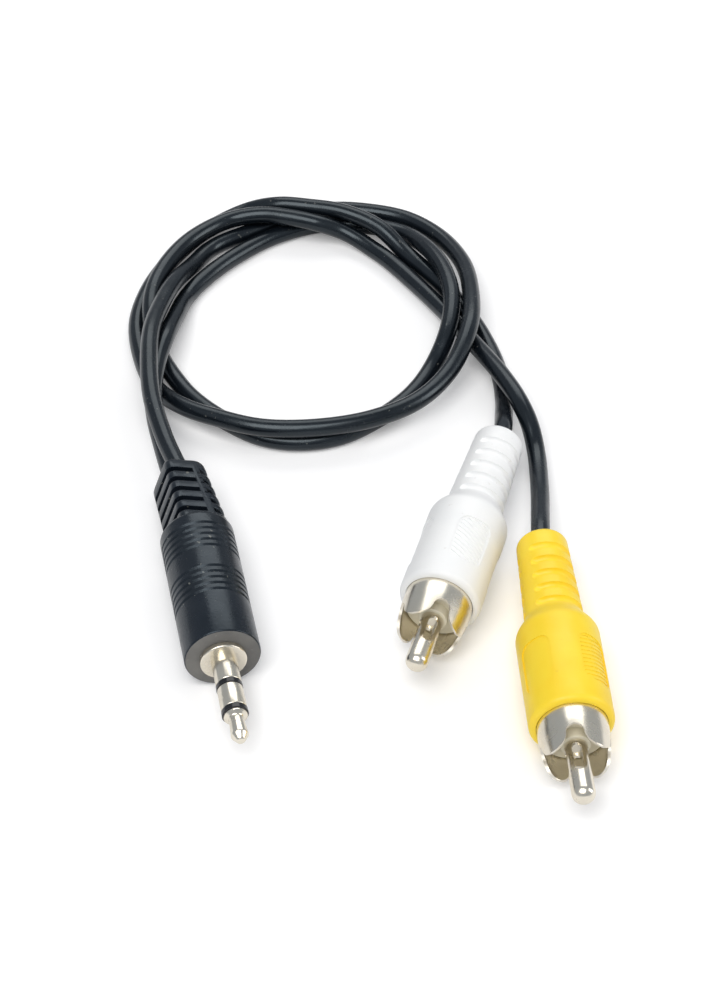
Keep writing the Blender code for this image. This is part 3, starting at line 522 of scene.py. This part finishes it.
tip = turn_up("jack_tip", [
    (10.45, 0.4), (10.45, 1.55), (10.5, 1.6), (10.68, 1.6), (10.76, 1.52), (10.95, 1.16), (11.05, 1.07),
    (11.2, 1.03), (11.6, 1.03), (13.5, 1.17), (13.78, 1.2), (13.92, 1.19), (14.03, 1.13), (14.7, 0.68),
    (14.84, 0.58), (14.9, 0.47), (14.92, 0.2)])
seat_in_plug(tip, jack, nickel, "contact_metal", "jack_tip_contact", angle=40)


# Each RCA plug's grip is soft PVC in the signal's colour, moulded in one piece: a barrel with two finely
# ribbed finger pads, a shoulder, and a boot with five grooves on either side.
def sweep_cut(outline, middle, sweep, steps):
    """A closed cutter: an outline in millimetres, swept part of the way round the plug's axis."""
    start = middle - sweep / 2
    cutter = draw_plate("sweep_cutter", [(math.sin(start) * radius / 1000, -front / 1000,
                                          math.cos(start) * radius / 1000) for front, radius in outline])
    bpy.ops.mesh.spin(steps=steps, dupli=False, angle=-sweep, center=(0.0, 0.0, 0.0), axis=(0.0, 1.0, 0.0))
    close_up()
    return cutter


def flat_cutter(outline, roll):
    """A closed cutter: a (side, front) outline in millimetres, standing right through the plug."""
    cutter = draw_plate("flat_cutter", [(side / 1000, -front / 1000, -0.008) for side, front in outline])
    bpy.ops.mesh.extrude_region_move(TRANSFORM_OT_translate={"value": (0.0, 0.0, 0.016)})
    close_up()
    cutter.rotation_euler = (0.0, roll, 0.0)
    bpy.ops.object.transform_apply(location=True, rotation=True, scale=True)
    return cutter


def round_ends(cutter, middle, sweep):
    """Lets a groove's cutter run out of the surface over its last 16 degrees at either end."""
    for vertex in cutter.data.vertices:
        across, up = vertex.co.x, vertex.co.z
        turn = math.atan2(across, up) - middle
        turn = abs((turn + math.pi) % (2 * math.pi) - math.pi)
        rise = 0.00068 * max(0.0, 1 - (sweep / 2 - turn) / math.radians(16)) ** 2
        radius = math.hypot(across, up)
        vertex.co.x *= (radius + rise) / radius
        vertex.co.z *= (radius + rise) / radius
    return cutter


def slanted_bars(slant, roll):
    """Fifteen thin bars side by side across a pad, turned by the ribs' slant and rolled to the pad's place."""
    deselect_everything()
    bpy.ops.mesh.primitive_cube_add(size=1.0, location=(0.0, 0.0029, 0.0), scale=(0.012, 0.0003, 0.016))
    bars = bpy.context.object
    bpy.ops.object.transform_apply(location=True, rotation=True, scale=True)
    bpy.ops.object.mode_set(mode="EDIT")
    bpy.ops.mesh.select_all(action="SELECT")
    for bar in range(15):
        bpy.ops.mesh.duplicate_move(TRANSFORM_OT_translate={"value": (0.0, 0.00068, 0.0)})
    bpy.ops.object.mode_set(mode="OBJECT")
    centre = Matrix.Translation((0.0, 0.00785, 0.0))
    bars.data.transform(Matrix.Rotation(roll, 4, "Y") @ centre @ Matrix.Rotation(slant, 4, "Z") @ centre.inverted())
    return bars


def rca_grip(name, pads, grooves, slant):
    shoulder = []
    for i in range(1, 12):
        share = i / 12
        drop = 0.5 - 0.5 * math.cos(math.pi * share)
        shoulder.append((-15.05 - 3.95 * share, 5.7 - 1.63 * drop))
    line = [(0.0, 4.77), *bend((-0.8, 4.9), 0.8, 0, 90, 8), (-15.05, 5.7), *shoulder, (-19.0, 4.07),
            *bend((-32.4, 2.69), 0.9, 90, 180, 7), (-33.3, 1.5), (-12.5, 1.5), (-12.5, 4.77), (0.0, 4.77)]
    grip = turn_up(name, line, ring=True)
    for turn, sweep in ((0.0, math.radians(172)), (math.pi, math.radians(128))):
        for groove in range(5):
            front = -19.2 - 2.6 * groove
            floor = 4.07 - 0.0336 * (-front - 19.0) - 0.62
            outline = [(front + 0.78, floor + 1.9), (front + 0.62, floor + 0.54), (front + 0.5, floor + 0.28),
                       (front + 0.32, floor + 0.08), (front + 0.1, floor), (front - 0.1, floor),
                       (front - 0.32, floor + 0.08), (front - 0.5, floor + 0.28), (front - 0.62, floor + 0.54),
                       (front - 0.78, floor + 1.9)]
            cut_away(grip, round_ends(sweep_cut(outline, grooves + turn, sweep, 48), grooves + turn, sweep))
    for quarter in range(4):
        turn = pads + quarter * math.pi / 2
        pad = sweep_cut([(-12.5, 5.56), (-3.0, 5.56), (-3.0, 6.5), (-12.5, 6.5)], turn, math.radians(56), 24)
        edge = [(side, front - 7.85) for side, front in rounded_outline(4.85, 8.1, (1.4,) * 4)]
        cut_away(pad, flat_cutter(edge, turn), "INTERSECT")
        cut_away(grip, pad)
    for quarter in (0, 2):
        turn = pads + quarter * math.pi / 2
        grips = sweep_cut([(-12.5, 5.46), (-3.0, 5.46), (-3.0, 5.9), (-12.5, 5.9)], turn, math.radians(56), 24)
        edge = [(side, front - 7.85) for side, front in rounded_outline(4.3, 7.5, (1.2,) * 4)]
        cut_away(grips, flat_cutter(edge, turn), "INTERSECT")
        cut_away(grips, slanted_bars(slant, turn), "INTERSECT")
        cut_away(grip, grips)
    return grip


white_plug = {"place": (0.00879, 0.00086, 0.0057), "turn": math.radians(-16.44)}
yellow_plug = {"place": (0.02564, -0.02123, 0.0057), "turn": math.radians(4.14)}
white_pvc = soft_pvc("white_pvc", (0.87, 0.875, 0.88), (0.84, 0.85, 0.86), (0.45, 0.38, 0.33), 0.18, (0.36, 0.5), 0.00001)
yellow_pvc = soft_pvc("yellow_pvc", (0.95, 0.70, 0.035), (0.94, 0.65, 0.022), (0.6, 0.32, 0.05), 0.15, (0.34, 0.48), 0.00001)
white_grip = rca_grip("white_grip", math.radians(24), math.radians(52), math.radians(-28))
seat_in_plug(white_grip, white_plug, white_pvc, "white_pvc", "white_overmould")
yellow_grip = rca_grip("yellow_grip", math.radians(44), math.radians(46), math.radians(12))
seat_in_plug(yellow_grip, yellow_plug, yellow_pvc, "yellow_pvc", "yellow_overmould")


# The outer contact of each RCA plug is a sleeve of nickel plated brass, slit into four petals that grip the
# socket. It is rolled from sheet and bent in a little towards its tips.
def mirrored(half):
    """A whole outline from its right half, given from the bottom up."""
    return half + [(-side, front) for side, front in reversed(half) if side > 1e-6]


def rca_shell(name, slots):
    outer = [(0.0, 4.72), (2.0, 4.72), *[(2.0 + 4.0 * i / 10, 4.72 - 0.41 * (i / 10) ** 1.3) for i in range(1, 11)]]
    inner = [(front, radius - 0.38) for front, radius in reversed(outer)]
    line = [(-4.4, 4.34), (-4.4, 4.72), *outer, (6.06, 4.27), (6.09, 4.2), (6.09, 4.04), (6.06, 3.97), *inner[:-1],
            (-4.4, 4.34)]
    shell = turn_up(name, line, sides=160, ring=True)
    half = bend((0.0, 4.35), 1.2, -90, 0, 20) + bend((3.0, 4.3), 1.8, 180, 98, 24) + [(2.75, 7.0), (0.0, 7.0)]
    for quarter in range(2):
        cut_away(shell, flat_cutter(mirrored(half), slots + quarter * math.pi / 2))
    return shell


cut_edge = nickel_plate("dull_cut_edge", (0.86, 0.82, 0.74), (0.78, 0.73, 0.64), 0.5)
for label, plug, slots in (("white", white_plug, math.radians(20)), ("yellow", yellow_plug, math.radians(-6))):
    shell = rca_shell(label + "_shell_sleeve", slots)
    seat_in_plug(shell, plug, nickel, "contact_metal", label + "_shell", angle=16)
    shell.data.materials.append(cut_edge)
    ahead = Vector((math.sin(plug["turn"]), -math.cos(plug["turn"]), 0.0))
    for face in shell.data.polygons:
        reach = face.center - Vector(plug["place"])
        outwards = (reach - ahead * reach.dot(ahead)).normalized()
        face.material_index = 1 if reach.dot(ahead) > 0.0004 and abs(face.normal.dot(outwards)) < 0.6 else 0


# The centre pin is hollow nickel plated brass with four long windows and a round nose. The pin stands in a
# cream plastic disc with a low boss, pressed into the shell.
def rca_pin(name, slots):
    line = [(-6.8, 0.8), (3.35, 0.8), (3.35, 1.57), *bend((11.05, 0.27), 1.3, 90, 15, 9)]
    pin = turn_up(name, line, sides=64)
    half = bend((0.0, 4.55), 0.65, -90, 0, 6) + bend((0.0, 7.7), 0.65, 0, 90, 6)
    for quarter in range(2):
        cut_away(pin, flat_cutter(mirrored(half), slots + quarter * math.pi / 2))
    cut_away(pin, turn_up("pin_bore", [(3.7, 1.1), (9.35, 1.1)], sides=48))
    return pin


disc_line = [(-3.2, 0.85), (-3.2, 4.27), (1.65, 4.27), (1.8, 4.12), (1.8, 2.0), (3.2, 2.0), (3.3, 1.9), (3.3, 0.85),
             (-3.2, 0.85)]
cream_plastic = soft_pvc("cream_plastic", (0.80, 0.75, 0.60), (0.74, 0.69, 0.54), (0.5, 0.45, 0.35), 0.2, (0.35, 0.5),
                         0.000008)
for label, plug, slots in (("white", white_plug, math.radians(20)), ("yellow", yellow_plug, math.radians(-6))):
    seat_in_plug(rca_pin(label + "_pin", slots), plug, nickel, "contact_metal", label + "_centre_pin")
    disc = turn_up(label + "_disc", disc_line, ring=True)
    seat_in_plug(disc, plug, cream_plastic, "disc_plastic", label + "_insulator")

# Inside each plug a hard black moulding holds the contacts, and the red insulated core and the tinned copper
# shield tail of the lead run to them. They are hidden, so the solids only get plain finishes.
hidden_black = plain_material("hidden_black_plastic", (0.03, 0.03, 0.03), 0.5)
core_red = plain_material("core_insulation", (0.62, 0.05, 0.04), 0.5)
shield_copper = plain_material("tinned_copper", (0.72, 0.52, 0.4), 0.4, 1.0)
for name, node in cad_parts.items():
    finish = None
    if name.endswith("inner_mould"):
        finish = hidden_black
    elif name.endswith("core_wire"):
        finish = core_red
    elif name.endswith("shield_tail"):
        finish = shield_copper
    if finish:
        node.data.materials.clear()
        node.data.materials.append(finish)
